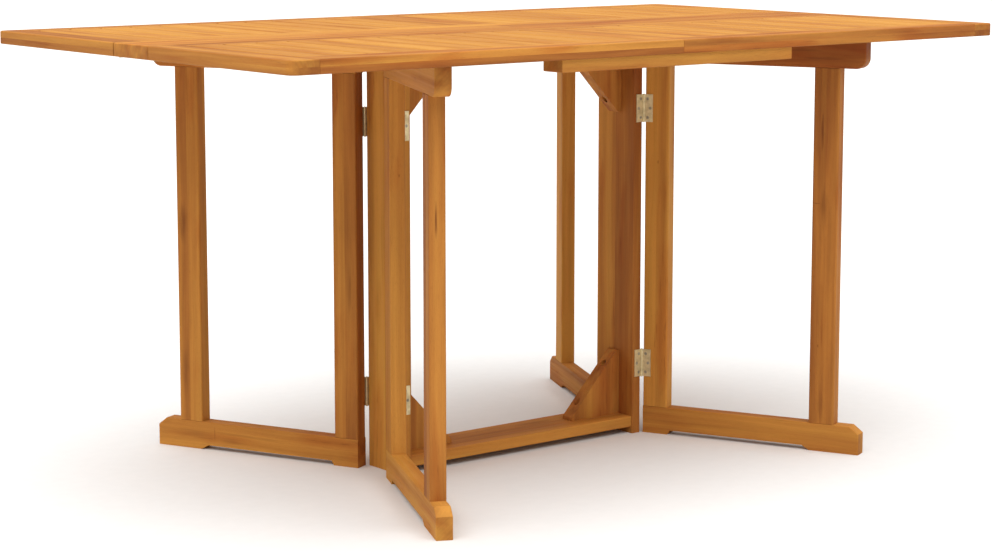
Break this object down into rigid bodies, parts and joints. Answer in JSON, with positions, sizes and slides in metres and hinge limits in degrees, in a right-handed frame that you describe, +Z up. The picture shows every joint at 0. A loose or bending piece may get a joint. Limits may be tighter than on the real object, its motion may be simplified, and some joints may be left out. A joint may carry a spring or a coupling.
{
  "type": "folding garden table",
  "caption": "Rectangular slatted wooden garden table with a narrow centre frame, swinging gate legs and hinged leaves.",
  "frame": {"origin": "on the floor under the middle of the opened top", "axes": "+X along the table, +Y across it towards the back, +Z up"},
  "size_m": [1.5, 0.9, 0.75],
  "materials": {
    "oiled_hardwood": "oiled",
    "hinge_steel": "passivated zinc",
    "screw_steel": "zinc plated"
  },
  "bodies": {
    "centre_frame": {"centre_hinge_screws": "screw_steel", "centre_strip_left": "oiled_hardwood", "centre_strip_right": "oiled_hardwood", "corner_gussets": "oiled_hardwood", "gate_hinge_fixed_plates": "hinge_steel", "gusset_screws": "screw_steel", "hinge_pins": "hinge_steel", "leaf_hinge_fixed_plates": "hinge_steel", "left_end_board": "oiled_hardwood", "lower_stretcher": "oiled_hardwood", "right_end_board": "oiled_hardwood", "upper_stretcher": "oiled_hardwood"},
    "front_left_gate": {"front_left_gate_inner_post": "oiled_hardwood", "front_left_gate_outer_post": "oiled_hardwood", "front_left_gate_top_rail": "oiled_hardwood", "front_left_gate_bottom_rail": "oiled_hardwood", "front_left_gate_hinge_plates": "hinge_steel", "front_left_gate_hinge_screws": "screw_steel"},
    "front_right_gate": {"front_right_gate_inner_post": "oiled_hardwood", "front_right_gate_outer_post": "oiled_hardwood", "front_right_gate_top_rail": "oiled_hardwood", "front_right_gate_bottom_rail": "oiled_hardwood", "front_right_gate_hinge_plates": "hinge_steel", "front_right_gate_hinge_screws": "screw_steel"},
    "back_left_gate": {"back_left_gate_inner_post": "oiled_hardwood", "back_left_gate_outer_post": "oiled_hardwood", "back_left_gate_top_rail": "oiled_hardwood", "back_left_gate_bottom_rail": "oiled_hardwood", "back_left_gate_hinge_plates": "hinge_steel", "back_left_gate_hinge_screws": "screw_steel"},
    "back_right_gate": {"back_right_gate_inner_post": "oiled_hardwood", "back_right_gate_outer_post": "oiled_hardwood", "back_right_gate_top_rail": "oiled_hardwood", "back_right_gate_bottom_rail": "oiled_hardwood", "back_right_gate_hinge_plates": "hinge_steel", "back_right_gate_hinge_screws": "screw_steel"},
    "front_leaf": {"front_left_end_rail": "oiled_hardwood", "front_left_outer_rail": "oiled_hardwood", "front_left_slats": "oiled_hardwood", "front_right_end_rail": "oiled_hardwood", "front_right_outer_rail": "oiled_hardwood", "front_right_slats": "oiled_hardwood", "front_inner_rails": "oiled_hardwood", "front_seam_rails": "oiled_hardwood", "front_batten": "oiled_hardwood", "front_leaf_hinge_plates": "hinge_steel", "front_leaf_screws": "screw_steel"},
    "back_leaf": {"back_left_end_rail": "oiled_hardwood", "back_left_outer_rail": "oiled_hardwood", "back_left_slats": "oiled_hardwood", "back_right_end_rail": "oiled_hardwood", "back_right_outer_rail": "oiled_hardwood", "back_right_slats": "oiled_hardwood", "back_inner_rails": "oiled_hardwood", "back_seam_rails": "oiled_hardwood", "back_batten": "oiled_hardwood", "back_leaf_hinge_plates": "hinge_steel", "back_leaf_screws": "screw_steel"}
  },
  "joints": [
    {"name": "front_left_gate_fold", "type": "hinge", "parent": "centre_frame", "child": "front_left_gate", "pos_m": [-0.2707, -0.0515, 0], "axis": [0, 0, -1], "range_deg": [0, 65]},
    {"name": "front_right_gate_fold", "type": "hinge", "parent": "centre_frame", "child": "front_right_gate", "pos_m": [0.2707, -0.0515, 0], "axis": [0, 0, 1], "range_deg": [0, 65]},
    {"name": "back_left_gate_fold", "type": "hinge", "parent": "centre_frame", "child": "back_left_gate", "pos_m": [-0.2707, 0.0515, 0], "axis": [0, 0, 1], "range_deg": [0, 65]},
    {"name": "back_right_gate_fold", "type": "hinge", "parent": "centre_frame", "child": "back_right_gate", "pos_m": [0.2707, 0.0515, 0], "axis": [0, 0, -1], "range_deg": [0, 65]},
    {"name": "front_leaf_lift", "type": "hinge", "parent": "centre_frame", "child": "front_leaf", "pos_m": [0, -0.0535, 0.7277], "axis": [-1, 0, 0], "range_deg": [0, 4]},
    {"name": "back_leaf_lift", "type": "hinge", "parent": "centre_frame", "child": "back_leaf", "pos_m": [0, 0.0535, 0.7277], "axis": [1, 0, 0], "range_deg": [0, 4]}
  ]
}
